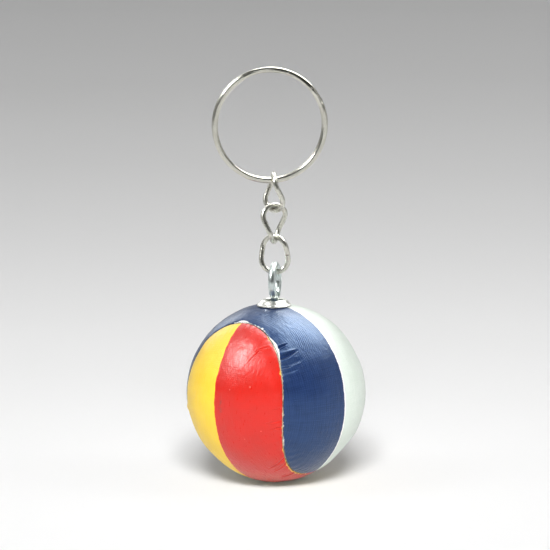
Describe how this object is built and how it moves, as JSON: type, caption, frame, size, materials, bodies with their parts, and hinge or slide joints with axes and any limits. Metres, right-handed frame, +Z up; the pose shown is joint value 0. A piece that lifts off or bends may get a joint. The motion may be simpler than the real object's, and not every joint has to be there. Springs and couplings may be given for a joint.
{
  "type": "miniature juggling ball key-ring charm",
  "caption": "Miniature two-panel juggling ball with a padded wooden core, hung by a screw eye and oval chain links from a split key ring.",
  "frame": {"origin": "the ball's lowest point, on the hanging axis", "axes": "+Z up along the hanging axis, through the ball's centre, the chain and the ring; -Y is the front, where the red and the blue cover colours meet"},
  "size_m": [0.039, 0.039, 0.0904],
  "materials": {
    "ring_steel": "polished",
    "chain_nickel": "gloss",
    "eye_zinc": "satin",
    "washer_nickel": "polished",
    "cover_yellow_red": "satin",
    "cover_blue_white": "satin",
    "padding": "matte",
    "core_wood": "matte"
  },
  "bodies": {
    "key_ring": {"split_ring": "ring_steel"},
    "link_1": {"chain_link_top": "chain_nickel"},
    "link_2": {"chain_link_middle": "chain_nickel"},
    "link_3": {"chain_link_bottom": "chain_nickel"},
    "ball": {"screw_eye": "eye_zinc", "cup_washer": "washer_nickel", "cover_panel_yellow_red": "cover_yellow_red", "cover_panel_blue_white": "cover_blue_white", "foam_padding_front": "padding", "foam_padding_back": "padding", "wood_core": "core_wood"}
  },
  "joints": [
    {"name": "top_link_swing", "type": "hinge", "parent": "key_ring", "child": "link_1", "pos_m": [0, 0, 0.0644], "axis": [0.9903, 0.1392, 0], "range_deg": [-70, 70]},
    {"name": "middle_link_swing", "type": "hinge", "parent": "link_1", "child": "link_2", "pos_m": [0, 0, 0.05945], "axis": [0.7071, -0.7071, 0], "range_deg": [-50, 50]},
    {"name": "bottom_link_swing", "type": "hinge", "parent": "link_2", "child": "link_3", "pos_m": [0, 0, 0.0527], "axis": [0.2588, 0.9659, 0], "range_deg": [-60, 60]},
    {"name": "ball_swing", "type": "hinge", "parent": "link_3", "child": "ball", "pos_m": [0, 0, 0.04595], "axis": [0.9962, -0.0872, 0], "range_deg": [-40, 40]}
  ]
}
